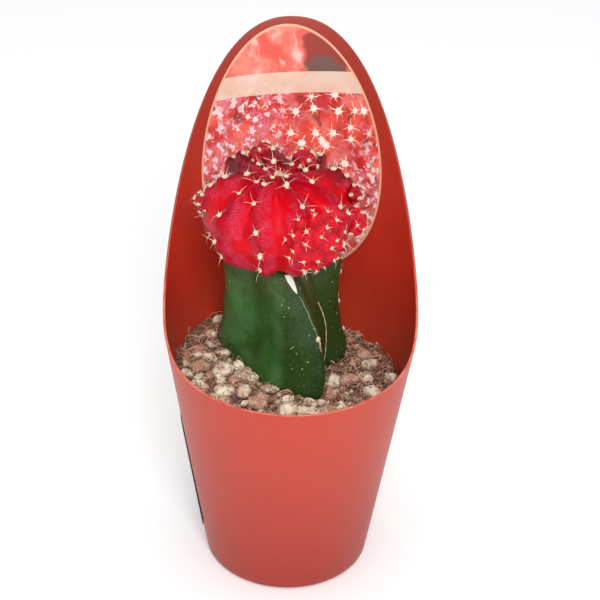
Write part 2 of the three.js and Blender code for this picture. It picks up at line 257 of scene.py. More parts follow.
def pot_plastic():
    f = Finish("pot_plastic", Specular_IOR_Level=0.5)
    place = f.place()
    _, _, height = f.split(place)
    clouds = f.noise(place, 22, 3)
    grain = f.noise(place, 0.6, 2)
    scuff = f.noise(f.stretched(place, (1, 1, 0.35)), 4, 5, 0.65).step(0.62, 0.82)
    f.ground(clouds.step(0.3, 0.7), (180, 42, 23), (191, 46, 26))
    # painted shade: the plastic darkens towards the top of the tall back
    f.paint(height.step(82, 118), 152, 38, 20)
    # painted shade: below the rim band the wall darkens towards the foot, as it gets less light from above
    body = f.mix(height.step(-12, 62), colour(154, 34, 18), colour(184, 56, 32))
    f.base = f.mix(height.step(72, 50), f.base, body)
    f.paint(scuff * 0.1, 206, 120, 100)
    return f.done(0.4 + 0.1 * clouds + 0.12 * scuff, grain * 0.6 + clouds * 0.4, 0.02, 0.5)


def pot_edge():
    f = Finish("pot_cut_edge", Specular_IOR_Level=0.5)
    place = f.place()
    edge_mottle = f.noise(place, 2.5, 4)
    _, _, height = f.split(place)
    # the pale edge tones are a painted highlight along the cut edge
    f.ground(edge_mottle.step(0.3, 0.7), (192, 74, 54), (214, 122, 102))
    # painted shade: the highlight fades out towards the top of the tall back
    f.paint(height.step(58, 86) * 0.8, 148, 46, 30)
    return f.done(0.4 + 0.2 * edge_mottle, edge_mottle, 0.05, 0.5)


def spine_stars(f, place, spacing, reach, width, pad, spikes, randomness=0.85):
    """Pale many-pointed stars scattered over a flat print. Gives how strongly each point is covered."""
    cell = f.cells(place, spacing, out=None, dimensions="2D", randomness=randomness)
    centre = Wire(f, cell.outputs["Position"])
    chance = f.split(Wire(f, cell.outputs["Color"]))
    x, y, _ = f.split(f.vector("SUBTRACT", {0: place, 1: centre}))
    distance = (x * x + y * y) ** 0.5
    angle = y.math("ARCTAN2", x)
    beside = abs((angle * (spikes / 2) + chance[0] * TURN).math("SINE")) * distance * (2 / spikes)
    longest = (angle * 3 + chance[1] * 17).math("SINE") * 0.3 + 0.7
    half_width = width * (1 - distance / (reach * longest))
    spike = (half_width - beside).step(0, width * 0.45)
    size = pad * (0.55 + 0.6 * chance[2])
    button = (distance / size).step(1.2, 0.75)
    return spike.most(button)


def picture_print():
    f = Finish("picture_print", Coat_Weight=0.25, Coat_Roughness=0.12, Roughness=0.38)
    flat = f.flat_place()
    x, y, _ = f.split(flat)

    def warped(size, amount):
        values = {"Vector": flat, "Scale": 1 / size, "Detail": 2.0}
        swirl = f.node("ShaderNodeTexNoise", values=values, out="Color")
        return f.vector("MULTIPLY_ADD", {0: swirl, 1: (amount, amount, 0), 2: flat})

    loose = warped(5, 5.0)
    ragged = warped(0.9, 0.9)
    # the pictured plants: upright lobes, lit on one side, with dark gaps between them
    upright = f.stretched(loose, (1.0, 0.62, 1))
    lobes = f.cells(upright, 5.2, "SMOOTH_F1", dimensions="2D")
    clouds = f.noise(flat, 8, 4)
    f.ground(lobes.step(0.12, 0.62), (236, 84, 66), (196, 34, 32))
    f.paint(clouds.step(0.48, 0.66) * 0.7, 236, 132, 122)
    gaps = f.noise(upright, 4.2, 3, 0.55)
    upper = y.step(16, 20)
    f.paint(gaps.step(0.56, 0.64) * (1 - upper) * 0.8, 104, 56, 50)
    # ragged pink and white patches, densest at the left and the lower right
    busy = (x * -1 + 7 * clouds).step(0, 9).most((x - y * 0.5 + 6 * clouds).step(17, 25)) * (1 - upper)
    patches = f.noise(loose, 3.2, 4, 0.6)
    f.paint(patches.step(0.47, 0.56) * (0.15 + 0.6 * busy), 224, 112, 130)
    f.paint(patches.step(0.42, 0.34) * busy * 0.8, 126, 40, 46)
    bright = f.noise(warped(1.6, 1.8), 2.0, 3, 0.6)
    f.paint(bright.step(0.53, 0.62) * (0.12 + 0.8 * busy), 248, 220, 222)
    # the soft upper part, out of focus, with its dark corner
    haze = f.mix(clouds.step(0.42, 0.6), colour(226, 84, 68), colour(236, 134, 116))
    glow = f.noise(f.stretched(loose, (1, 0.4, 1)), 3.4, 2).step(0.52, 0.7)
    haze = f.mix(glow * 0.6, haze, colour(252, 216, 208))
    side, high, _ = f.split(loose)
    corner = (side - 12.5) ** 2 / 34 + (high - 26.5) ** 2 / 40
    haze = f.mix(corner.step(1.25, 0.75), haze, colour(150, 46, 36))
    murk = (side - 11.5) ** 2 / 24 + (high - 23) ** 2 / 9
    haze = f.mix(murk.step(1.5, 0.4) * 0.8, haze, colour(96, 84, 74))
    f.base = f.mix(upper, f.base, haze)
    # spine stars: large ones over the red, small ones over the pink
    lower = y.step(17, 13)
    large = spine_stars(f, ragged, 4.5, 4.0, 0.21, 0.82, 7) * (1 - busy * 0.8) * lower
    clusters = f.noise(loose, 4.5, 2).step(0.44, 0.56)
    little = spine_stars(f, ragged, 2.9, 1.9, 0.2, 0.6, 5) * busy * lower * clusters
    f.paint(large.step(0, 1), 250, 236, 220)
    f.paint(little * 0.85, 250, 230, 228)
    # the pale band, left blank, with a little of the picture showing through
    across = (y - 14.5).step(-0.06, 0.06) * (19.6 - y).step(-0.06, 0.06)
    band = f.mix(clouds.step(0.35, 0.65), colour(228, 196, 170), colour(234, 210, 194))
    f.base = f.mix(across * 0.86, f.base, band)
    # the thin line along the label's edge
    half = LABEL_HALF_WIDTH * (1 - (LABEL_EGG / LABEL_HALF_HEIGHT) * y)
    egg = ((x / half) ** 2 + (y / LABEL_HALF_HEIGHT) ** 2) ** 0.5
    f.paint(egg.step(0.978, 0.983), 234, 170, 138)
    f.vary(Base_Color=f.base)
    f.bump(f.noise(flat, 7, 2), 0.05, 0.35)
    return f.material


def care_print():
    f = Finish("care_print", Specular_IOR_Level=0.25)
    x, y, _ = f.split(f.flat_place())
    dust = f.noise(f.place(), 3, 4)
    soft = 0.1  # half the width of a mark's soft edge, in millimetres
    ring_radius = 4.6

    def away_from(cx, cy):
        return ((x - cx) ** 2 + (y - cy) ** 2) ** 0.5

    def within(value, reach):
        return value.step(reach + soft, reach - soft)

    def ring(cx, cy):
        return abs(away_from(cx, cy) - ring_radius).step(0.5, 0.25)

    def bar(cx, cy, width, height):
        return within(abs(x - cx), width / 2) * within(abs(y - cy), height / 2)

    # a sun, a water drop and a pot, each in its ring, over three plain rules
    mark = ring(-11, 6).most(ring(0, 6)).most(ring(11, 6))
    angle = (y - 6).math("ARCTAN2", x + 11)
    away = away_from(-11, 6)
    rays = (angle * 8).math("COSINE").step(0.2, 0.5) * away.step(1.9, 2.0) * away.step(3.2, 3.1)
    drop = within(away_from(0, 5.2), 1.7).most((abs(x) * 1.9 + y - 9.2).step(0.1, -0.1) * y.step(5.2, 5.4))
    pot = (abs(x - 11) * 6 - y + 3.4 - 5).step(0.2, -0.2) * bar(11, 5.2, 6, 3.4)
    mark = mark.most(within(away, 1.4)).most(rays).most(drop).most(pot)
    for row in range(3):
        mark = mark.most(bar(-1.5 * row, -3.5 - 3 * row, 28 - 3 * row, 0.7))
    black = f.mix(dust, colour(10, 8, 8), colour(22, 17, 16))
    f.vary(Base_Color=f.mix(mark, black, colour(214, 206, 198)), Roughness=0.4 + 0.15 * dust)
    return f.material


def coir():
    f = Finish("coir", Specular_IOR_Level=0.25)
    place = f.place()
    patch = f.noise(place, 3.5, 4, 0.6)
    thread = f.noise(place, 0.5, 4, 0.7, 1.5)
    f.ground(patch.step(0.35, 0.65), (84, 54, 42), (134, 94, 76))
    f.paint(thread.step(0.5, 0.75), 200, 160, 134)
    f.paint(thread.step(0.45, 0.3), 50, 30, 22)
    return f.done(0.85 + 0.1 * thread, thread, 0.35)


def fibre(name, dark, light, size=1.4):
    f = Finish(name, Specular_IOR_Level=0.3)
    place = f.place()
    tone = f.noise(place, size, 2)
    f.ground(tone.step(0.35, 0.65), dark, light)
    return f.done(0.6 + 0.2 * tone, f.noise(place, 0.12, 2), 0.03)


def pumice_stone():
    f = Finish("pumice_stone", Specular_IOR_Level=0.3)
    place = f.place()
    buried = f.attribute("buried")
    stain = f.noise(place, 2.6, 5, 0.6)
    grain = f.noise(place, 0.3, 4, 0.7)
    pores = f.cells(place, 0.9)
    hole = pores.step(0.34, 0.16) * f.noise(place, 1.6, 2).step(0.45, 0.6)
    seam = abs(f.noise(place, 3.2, 3, 0.6, 0.6) - 0.5).step(0.04, 0.0) * stain.step(0.42, 0.6)
    f.ground(stain.step(0.38, 0.62), (230, 218, 196), (192, 162, 136))
    f.paint(seam * 0.85, 84, 54, 40)
    f.paint(grain.step(0.55, 0.8) * 0.5, 244, 236, 218)
    f.paint(hole, 70, 44, 34)
    # painted shade on the stone's lower part, broken up by the stain noise
    f.paint((buried + stain * 0.3).step(0.42, 0.78) * 0.88, 76, 48, 36)
    return f.done(0.8 + 0.15 * grain, grain * 0.6 + stain * 0.4 - hole * 0.8 - seam * 0.5, 0.14)


def bark_chip():
    f = Finish("bark_chip", Specular_IOR_Level=0.25)
    place = f.place()
    buried = f.attribute("buried")
    stain = f.noise(place, 2.2, 5, 0.65)
    flake = f.cells(place, 0.9, "DISTANCE_TO_EDGE")
    grain = f.noise(place, 0.35, 4, 0.7)
    f.ground(stain.step(0.35, 0.65), (178, 134, 112), (212, 174, 150))
    f.paint(flake.step(0.1, 0.0) * 0.6, 96, 58, 46)
    f.paint(grain.step(0.55, 0.8) * 0.5, 230, 200, 176)
    # painted shade on the chip's lower part, broken up by the stain noise
    f.paint((buried + stain * 0.3).step(0.45, 0.8) * 0.85, 72, 44, 34)
    return f.done(0.85 + 0.1 * grain, grain * 0.5 + flake.step(0, 0.2) * 0.5, 0.16)


def green_skin():
    f = Finish("green_skin", Specular_IOR_Level=0.35, Coat_Weight=0.05, Coat_Roughness=0.3)
    place = f.place()
    crest = f.attribute("crest")
    height = f.attribute("height")
    clouds = f.noise(place, 7, 4)
    dots = f.cells(place, 0.55)
    speck = dots.step(0.26, 0.12)
    f.ground(clouds.step(0.3, 0.7), (32, 76, 20), (48, 98, 30))
    x, _, _ = f.split(place)
    flank = 4 * crest * (1 - crest)
    left = (x * -1).step(1, 4)
    # painted shade: the stem darkens to olive away from its lit left side
    f.paint((1 - left) * 0.78, 34, 56, 12)
    # painted shade in the valleys between the wings
    f.paint((1 - crest).step(0.85, 1.0) * 0.2, 20, 46, 16)
    # painted sheen: a pale bluish shine on the flanks of the lit left side
    f.paint(flank.step(0.05, 0.7) * clouds.step(0.3, 0.6) * left * 0.7, 72, 118, 72)
    # painted shade under the head, olive in tone, in the valleys near the top
    f.paint(height.step(0.5, 1.05) * (1 - crest) * 0.6, 66, 76, 26)
    f.paint(crest.step(0.86, 1.0) * 0.45, 20, 44, 22)
    # painted shade: the stem darkens towards the top, under the head
    f.paint(height.step(0.7, 1.0) * 0.55, 44, 50, 10)
    mottle = f.noise(place, 0.4, 3, 0.65)
    f.paint(mottle.step(0.5, 0.75) * 0.35, 84, 118, 64)
    f.paint(speck * 0.3, 124, 158, 112)
    flecks = f.cells(place, 1.3).step(0.2, 0.12) * f.noise(place, 4, 2).step(0.5, 0.62)
    f.paint(flecks * crest.step(0.3, 0.6) * 0.6, 190, 204, 170)
    scar = f.noise(place, 0.7, 3, 0.6, 0.8).step(0.7, 0.76)
    f.paint(scar * 0.3, 150, 172, 120)
    return f.done(0.34 + 0.16 * clouds, f.noise(place, 0.9, 3) * 0.7 + speck * 0.3, 0.06)


def cut_flesh():
    f = Finish("cut_flesh", Subsurface_Weight=0.2, Subsurface_Scale=0.001)
    grain = f.noise(f.place(), 0.8, 4)
    f.ground(grain.step(0.3, 0.7), (206, 208, 184), (236, 236, 220))
    return f.done(0.5 + 0.2 * grain, grain, 0.06)


def red_skin(name, furrow_tone, face_tone, dark_tone, painted_glint):
    f = Finish(name, Specular_IOR_Level=0.11, Subsurface_Weight=0.08, Subsurface_Scale=0.001)
    place = f.place()
    furrow = f.attribute("furrow")
    crown = f.attribute("crown")
    clouds = f.noise(place, 5, 4)
    f.ground(furrow.step(0.1, 0.8), face_tone, furrow_tone)
    f.paint(clouds.step(0.45, 0.75) * 0.35, *dark_tone)
    f.paint(crown.step(0.2, 0.9), *dark_tone)
    dots = f.cells(place, 0.3)
    speck = dots.step(0.32, 0.12)
    face = 4 * furrow * (1 - furrow)
    # painted glint: the pink flush and bright dots on the rib faces stand for light caught by fine papillae
    where = face.step(0.2, 0.8) * f.noise(place, 5, 3).step(0.4, 0.58)
    f.paint(where * painted_glint * 0.8, 206, 50, 84)
    f.paint(speck * where * painted_glint, 250, 150, 164)
    return f.done(0.36 + 0.14 * clouds, f.noise(place, 1.1, 3) * 0.7 + speck * 0.3, 0.05)


def areole_felt():
    f = Finish("areole_felt", Specular_IOR_Level=0.2, Sheen_Weight=0.3)
    place = f.place()
    wool = f.noise(place, 0.22, 3, 0.7)
    f.ground(wool.step(0.35, 0.65), (206, 176, 140), (246, 230, 202))
    f.paint(f.noise(place, 0.9, 2).step(0.6, 0.75) * 0.6, 226, 160, 136)
    return f.done(0.9, wool, 0.15)


# ------------------------------------------------------------------ making and placing pieces


def outward(bm):
    """Turns every face of a closed shape outwards."""
    bmesh.ops.recalc_face_normals(bm, faces=bm.faces)
    if bm.calc_volume(signed=True) < 0:
        bmesh.ops.reverse_faces(bm, faces=bm.faces)


def scaled(bm, factor):
    bmesh.ops.scale(bm, vec=Vector((factor, factor, factor)), verts=bm.verts)


def placed(name, data):
    """A new object in the scene."""
    piece = bpy.data.objects.new(name, data)
    bpy.context.scene.collection.objects.link(piece)
    return piece


def made_of(name, bm):
    """An object with a bmesh's shape."""
    mesh = bpy.data.meshes.new(name)
    bm.to_mesh(mesh)
    return placed(name, mesh)


def worked_out(piece):
    """The mesh that an object's curve or modifiers give."""
    bpy.context.view_layer.update()
    return bpy.data.meshes.new_from_object(piece.evaluated_get(bpy.context.evaluated_depsgraph_get()))


def settle(name, bm, finishes, slot, replaces=(), sharp=50):
    """Turns a shape in millimetres into a piece on the frame, with its finishes."""
    scaled(bm, MM)
    piece = made_of(name, bm)
    bm.free()
    for finish in finishes:
        piece.data.materials.append(finish)
    piece.data.shade_smooth()
    piece.data.set_sharp_from_angle(angle=radians(sharp))
    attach(piece, "root")
    if replaces:
        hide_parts(*replaces)
    return piece


def doubled(bm):
    """Gives an open sheet its second side, and returns that side's corners."""
    made = bmesh.ops.extrude_face_region(bm, geom=bm.faces[:])
    return [v for v in made["geom"] if isinstance(v, bmesh.types.BMVert)]


def ball(columns, rows):
    """A round head's first shape, with its two layers for the red skin."""
    bm = bmesh.new()
    bmesh.ops.create_uvsphere(bm, u_segments=columns, v_segments=rows, radius=1)
    return bm, bm.verts.layers.float.new("furrow"), bm.verts.layers.float.new("crown")


def spun(profile, steps):
    """A closed shape from [radius, height] pairs turned about +Z."""
    bm = bmesh.new()
    points = [bm.verts.new((radius, 0, height)) for radius, height in profile]
    edges = [bm.edges.new(pair) for pair in zip(points, points[1:])]
    bmesh.ops.spin(
        bm, geom=points + edges, cent=(0, 0, 0), axis=(0, 0, 1), angle=TURN, steps=steps, use_merge=True
    )
    bmesh.ops.remove_doubles(bm, verts=bm.verts, dist=0.0005)
    outward(bm)
    return bm


def strands(name, paths, thickness, finish, slot, resolution=0):
    """Many thin threads as one piece. A path is a list of places with each one's share of the thickness."""
    curve = bpy.data.curves.new(name, "CURVE")
    curve.dimensions = "3D"
    curve.bevel_depth = thickness / 2 * MM
    curve.bevel_resolution = resolution
    curve.use_fill_caps = True
    for path in paths:
        spline = curve.splines.new("POLY")
        spline.points.add(len(path) - 1)
        for point, (place, share) in zip(spline.points, path):
            point.co = (*(place * MM), 1)
            point.radius = share
    holder = placed(name + "_line", curve)
    mesh = worked_out(holder)
    bpy.data.objects.remove(holder)
    bpy.data.curves.remove(curve)
    bm = bmesh.new()
    bm.from_mesh(mesh)
    bpy.data.meshes.remove(mesh)
    bmesh.ops.remove_doubles(bm, verts=bm.verts, dist=1e-7)
    scaled(bm, 1 / MM)
    return settle(name, bm, [finish], slot, sharp=80)


def smooth_through(stations, values, at):
    """A smooth curve through values at the given stations."""
    last = len(stations) - 1
    at = min(max(at, stations[0]), stations[last])
    i = max(next(k for k in range(last + 1) if stations[k] >= at), 1)
    share = (at - stations[i - 1]) / (stations[i] - stations[i - 1])
    slope_in = (values[i] - values[max(i - 2, 0)]) / 2
    slope_out = (values[min(i + 1, last)] - values[i - 1]) / 2
    square = share * share
    cube = square * share
    return (
        (2 * cube - 3 * square + 1) * values[i - 1]
        + (cube - 2 * square + share) * slope_in
        + (3 * square - 2 * cube) * values[i]
        + (cube - square) * slope_out
    )


def around(turn, reach=1.0, height=0.0):
    """The place at a turn about +Z and a reach from the axis."""
    return Vector((reach * cos(turn), reach * sin(turn), height))


def clamped(value):
    return min(1, max(0, value))


def scattered(chance, limit):
    """A place picked at random on the mix, as x and y, no further out than limit."""
    radius = limit * sqrt(chance.random())
    angle = chance.uniform(0, TURN)
    return radius * cos(angle), radius * sin(angle)


def rough(place, size, seed=0.0):
    """Smooth noise from -1 to 1 whose swellings are about size millimetres across."""
    return noise.noise(place / size + Vector((seed, seed * 1.7, seed * 2.3)))


# ------------------------------------------------------------------ pot and labels

WALL_ANGLE = atan(WALL_FLARE)
WALL_CUT = WALL_THICKNESS / cos(WALL_ANGLE)
SLANT_TO_FOOT = FOOT_RADIUS / sin(WALL_ANGLE)


def outer_radius(height):
    return FOOT_RADIUS + WALL_FLARE * height


def inner_radius(height):
    return outer_radius(height) - WALL_CUT


def rim_height(bearing):
    """Height of the pot's cut edge at a bearing from the back."""
    back = (1 + cos(bearing)) / 2
    spread = abs(bearing) / TONGUE_SPREAD
    return FRONT_RIM + BACK_RIM_LIFT * back + TONGUE_RISE * exp(-(spread**TONGUE_SHOULDER))


def make_pot():
    belt = 54.0  # the wall is even up to here, and rises to the rim above it
    rows = 14
    foot = [(0, 0), (6, 0), (12, 0), (18.6, 0), (19.3, 0.1), (19.75, 0.4), (20.1, 0.9)]
    shares = [k / rows for k in range(rows + 1)]
    outer = [(outer_radius(z), z) for z in (3, 8, 16, 24, 32, 40, 48)]
    outer += [(outer_radius(belt), belt + share) for share in shares]
    inner = [(inner_radius(belt), belt + share) for share in reversed(shares)]
    inner += [(inner_radius(z), z) for z in (40, 24, 8, 2.4)]
    floor = [(inner_radius(1.8) - 0.25, 1.5), (inner_radius(1.2) - 0.8, 1.2), (12, 1.2), (6, 1.2), (0, 1.2)]
    bm = spun(foot + outer + inner + floor, 240)
    rim = [e for e in bm.edges if all(abs(v.co.z - belt - 1) < 1e-4 for v in e.verts)]
    corners = [e for e in rim if abs(e.verts[0].co.xy.length - e.verts[1].co.xy.length) < 0.1]
    for v in bm.verts:
        share = v.co.z - belt
        if share < -1e-4:
            continue
        height = belt + share * (rim_height(atan2(v.co.x, v.co.y)) - belt)
        radius = v.co.xy.length
        grown = (radius + WALL_FLARE * (height - belt)) / radius
        v.co = Vector((v.co.x * grown, v.co.y * grown, height))
    shape = {"offset": EDGE_ROUNDING, "offset_type": "OFFSET", "segments": 2, "profile": 0.5}
    bmesh.ops.bevel(bm, geom=corners, affect="EDGES", material=-1, **shape)
    for face in bm.faces:
        top = rim_height(atan2(face.calc_center_median().x, face.calc_center_median().y))
        if face.calc_center_median().z > top - 0.12:
            face.material_index = 1
    pot = settle("pot_shell", bm, [pot_plastic(), pot_edge()], "pot_plastic", ["pot"], sharp=35)
    drill_drain_holes(pot)
    return pot


def drill_drain_holes(pot):
    bm = bmesh.new()
    for k in range(DRAIN_HOLES):
        place = Matrix.Translation(around(TURN * (k + 0.25) / DRAIN_HOLES, DRAIN_CIRCLE))
        bmesh.ops.create_cone(
            bm, cap_ends=True, segments=32, radius1=DRAIN_RADIUS, radius2=DRAIN_RADIUS, depth=6, matrix=place
        )
    scaled(bm, MM)
    drills = made_of("drain_drills", bm)
    bm.free()
    cut = pot.modifiers.new("drain_holes", "BOOLEAN")
    cut.operation = "DIFFERENCE"
    cut.solver = "EXACT"
    cut.object = drills
    mesh = worked_out(pot)
    pot.modifiers.clear()
    pot.data = mesh
    mesh.set_sharp_from_angle(angle=radians(35))
    bpy.data.objects.remove(drills)


def wall_place(bearing, radius, height):
    """The place at a bearing from the back and a distance from the pot's axis."""
    return Vector((radius * sin(bearing), radius * cos(bearing), height))


def on_wall(across, up, bearing):
    """Where a point of the unrolled wall lies: its bearing from the back and its height."""
    slant = hypot(across, up + SLANT_TO_FOOT)
    turned = atan2(across, up + SLANT_TO_FOOT) / sin(WALL_ANGLE)
    return bearing + turned, (slant - SLANT_TO_FOOT) * cos(WALL_ANGLE)


def wall_sheet(name, outline, columns, rows, place, finish, slot, node):
    """A thin sheet on the pot's wall. outline turns a square's x and y, from -1 to 1, into its flat shape,
    and place turns a flat point and a depth into its place on the wall."""
    bm = bmesh.new()
    bmesh.ops.create_grid(bm, x_segments=columns, y_segments=rows, size=1)
    uv = bm.loops.layers.uv.new("flat")
    for v in bm.verts:
        v.co = Vector((*outline(v.co.x, v.co.y), 0))
    for face in bm.faces:
        for loop in face.loops:
            loop[uv].uv = (loop.vert.co.x / SHEET_SPAN + 0.5, loop.vert.co.y / SHEET_SPAN + 0.5)
    bmesh.ops.translate(bm, verts=doubled(bm), vec=(0, 0, LABEL_THICKNESS))
    for v in bm.verts:
        v.co = place(v.co)
    outward(bm)
    return settle(name, bm, [finish], slot, [node])


def make_picture_label():
    top = rim_height(0) / cos(WALL_ANGLE)
    centre = top - LABEL_TOP_MARGIN - LABEL_HALF_HEIGHT

    def outline(u, v):
        x = u * sqrt(1 - v * v / 2)
        y = v * sqrt(1 - u * u / 2)
        return LABEL_HALF_WIDTH * (1 - LABEL_EGG * y) * x, LABEL_HALF_HEIGHT * y

    def place(flat):
        turned = Matrix.Rotation(LABEL_TILT, 2) @ flat.xy
        bearing, height = on_wall(turned.x, centre + turned.y, 0)
        radius = inner_radius(height) - LABEL_GAP - LABEL_THICKNESS + flat.z
        return wall_place(bearing, radius, height)

    wall_sheet("picture_sheet", outline, 72, 90, place, picture_print(), "picture_print", "picture_label")


def make_care_label():
    low = CARE_FOOT / cos(WALL_ANGLE)

    def outline(u, v):
        x = u * CARE_WIDTH / 2
        y = v * CARE_HEIGHT / 2
        past_x = abs(x) - (CARE_WIDTH / 2 - CARE_CORNER)
        past_y = abs(y) - (CARE_HEIGHT / 2 - CARE_CORNER)
        if past_x > 0 and past_y > 0:
            pull = max(past_x, past_y) / hypot(past_x, past_y)
            x = copysign(CARE_WIDTH / 2 - CARE_CORNER + past_x * pull, x)
            y = copysign(CARE_HEIGHT / 2 - CARE_CORNER + past_y * pull, y)
        return x, y

    def place(flat):
        # seen from outside, so across runs the other way
        bearing, height = on_wall(-flat.x, low + CARE_HEIGHT / 2 + flat.y, CARE_BEARING)
        radius = outer_radius(height) + LABEL_GAP + flat.z
        return wall_place(bearing, radius, height)

    wall_sheet("care_sheet", outline, 48, 44, place, care_print(), "care_print", "care_label")


# ------------------------------------------------------------------ potting mix and stones

MIX_GAP = 0.05  # between the mix and the wall
SOIL_RADIUS = inner_radius(SOIL_LEVEL) - MIX_GAP


def soil_height(x, y):
    from_stem = hypot(x - STEM_FOOT[0], y - STEM_FOOT[1]) / SOIL_RADIUS
    ripple = 0.35 * sin(0.55 * x + 1.1) * cos(0.47 * y - 0.6)
    heap = 2.0 * exp(-((x + 17) ** 2 + (y - 18) ** 2) / 90)  # banked up at the back on the left
    return SOIL_LEVEL - SOIL_LEAN * x + SOIL_MOUND * exp(-((from_stem / 0.55) ** 2)) + ripple + heap


def soil_surface(x, y):
    """The mix's height with its clods and crevices."""
    at = Vector((x, y, 0))
    clods = 0.55 * rough(at, 3.2) + 0.4 * rough(at, 1.4, 3) + 0.22 * rough(at, 0.6, 5)
    return soil_height(x, y) + clods


def make_potting_mix():
    rings = 110
    profile = [(0, 2), (SOIL_RADIUS * 0.74, 2)]
    profile += [(inner_radius(z) - MIX_GAP, z) for z in (2.5, 20, 40)]
    profile += [(SOIL_RADIUS * k / rings, SOIL_LEVEL) for k in range(rings, -1, -1)]
    bm = spun(profile, 260)
    for v in bm.verts:
        if v.co.z < SOIL_LEVEL - 0.01:
            continue
        height = soil_surface(v.co.x, v.co.y)
        grown = 1 + WALL_FLARE * (height - SOIL_LEVEL) / SOIL_RADIUS
        v.co = Vector((v.co.x * grown, v.co.y * grown, height))
    settle("mix_bed", bm, [coir()], "potting_mix", ["potting_mix"], sharp=180)


def stem_gap(x, y):
    """How far a place on the mix lies from the stem, below 0 inside it."""
    rel = Vector((x - STEM_FOOT[0], y - STEM_FOOT[1]))
    return rel.length - stem_reach(degrees(atan2(rel.y, rel.x)), 0)[0]


CLEAR_OF_STEM = 0.2


def fibre_path(chance, x, y, heading, bend, length, lift):
    """A thread from x and y that arches over the mix, wanders, and turns back at the wall."""
    steps = 7
    path = []
    for k in range(steps + 1):
        share = k / steps
        arch = lift * 4 * share * (1 - share)
        high = soil_height(x, y) + 0.25 + arch + 0.25 * rough(Vector((x, y, 0)), 1.1, 9)
        path.append((Vector((x, y, high)), 1 - 0.75 * abs(2 * share - 1) ** 3))
        heading += bend * 0.35 + chance.uniform(-0.2, 0.2)
        x += length / steps * cos(heading)
        y += length / steps * sin(heading)
        beyond = hypot(x, y) / (inner_radius(high) - 0.25)
        if beyond > 1:
            x, y = x / beyond, y / beyond
            heading += 0.8
    return path


def make_fibres():
    """Loose coir threads that lie tangled over the mix."""
    chance = random.Random(11)
    tones = [  # name, darkest and lightest tone, how many, thickness
        ("coir_slivers", (128, 88, 68), (196, 150, 124), 330, 0.42),
        ("coir_threads_brown", (100, 66, 50), (146, 102, 80), 620, 0.14),
        ("coir_threads_tan", (160, 120, 96), (206, 166, 138), 640, 0.13),
        ("coir_threads_pale", (204, 172, 144), (232, 208, 180), 190, 0.11),
    ]
    for name, dark, light, count, thickness in tones:
        paths = []
        while len(paths) < count:
            x, y = scattered(chance, SOIL_RADIUS * 0.985)
            if stem_gap(x, y) < CLEAR_OF_STEM:
                continue
            heading = chance.uniform(0, TURN)
            bend = chance.uniform(-0.5, 0.5)
            length = chance.uniform(2, 7.5) * (0.6 if thickness > 0.3 else 1)
            lift = chance.uniform(0.1, 0.9) ** 2 * 2.2
            paths.append(fibre_path(chance, x, y, heading, bend, length, lift))
        strands(name, paths, thickness, fibre(name, dark, light), "potting_mix")


def lumpy(verts, centre, size, amount, seed):
    """Pushes a shape's surface in and out as loose stone is."""
    for v in verts:
        out = (v.co - centre).normalized()
        swell = 0.6 * rough(v.co, size * 0.5, seed) + 0.3 * rough(v.co, size * 0.22, seed + 4)
        v.co += out * size * amount * swell


def make_crumbs():
    """Small grit and bits of bark that fill the gaps between the stones."""
    chance = random.Random(5)
    sets = [("grit", PUMICE, "pumice", 110), ("bark_crumbs", BARK, "bark", 170)]
    for name, finish, slot, count in sets:
        bm = bmesh.new()
        made = 0
        while made < count:
            x, y = scattered(chance, SOIL_RADIUS * 0.95)
            stony = (y < -3) or (x < -6)
            if stem_gap(x, y) < CLEAR_OF_STEM or (
                slot == "pumice" and not stony and chance.random() < 0.7
            ):
                continue
            made += 1
            size = chance.uniform(0.35, 1.0)
            turn = Quaternion(any_way(chance), chance.uniform(0, TURN))
            sizes = (size, size * chance.uniform(0.55, 0.9), size * chance.uniform(0.45, 0.8), 1)
            shape = Matrix.Diagonal(sizes)
            place = Matrix.Translation((x, y, soil_surface(x, y) + size * 0.2))
            crumb = bmesh.ops.create_icosphere(
                bm, subdivisions=2, radius=1, matrix=place @ turn.to_matrix().to_4x4() @ shape
            )
            lumpy(crumb["verts"], place.translation, size * 2, 0.12, made)
        settle(name, bm, [finish], slot, sharp=60)


def any_way(chance):
    """A direction picked at random."""
    return Vector((chance.gauss(0, 1), chance.gauss(0, 1), chance.gauss(0, 1))).normalized()


def break_faces(verts, centre, halves, count, chance):
    """Presses flat broken faces into a rounded stone of the given half sizes."""
    cuts = [(any_way(chance), chance.uniform(0.5, 0.8)) for _ in range(count)]
    for v in verts:
        unit = Vector((v.co - centre)[k] / halves[k] for k in range(3))
        for aim, depth in cuts:
            over = unit.dot(aim) - depth
            if over > 0:
                unit -= aim * over * 0.9
        v.co = centre + Vector(unit[k] * halves[k] for k in range(3))


def shade_low_parts(verts, layer):
    """Notes how low each place of a stone lies, from 0 at its top to 1 at its foot, for painted shade there.
    """
    heights = [v.co.z for v in verts]
    low, high = min(heights), max(heights)
    for v in verts:
        v[layer] = (high - v.co.z) / (high - low)


def chipped(bm, place, sizes, turn, seed, chance):
    """A stone with flat broken faces, rounded a little at its edges."""
    made = bmesh.ops.create_icosphere(bm, subdivisions=4, radius=1)
    break_faces(made["verts"], Vector(), (1, 1, 1), 10, chance)
    for v in made["verts"]:
        swell = 0.1 * rough(v.co, 0.9, seed) + 0.06 * rough(v.co, 0.3, seed)
        v.co += v.co.normalized() * swell
        v.co = place + turn @ Vector((v.co.x * sizes[0], v.co.y * sizes[1], v.co.z * sizes[2]))
    shade_low_parts(made["verts"], bm.verts.layers.float["buried"])


GRAVEL_TRIES = 4000


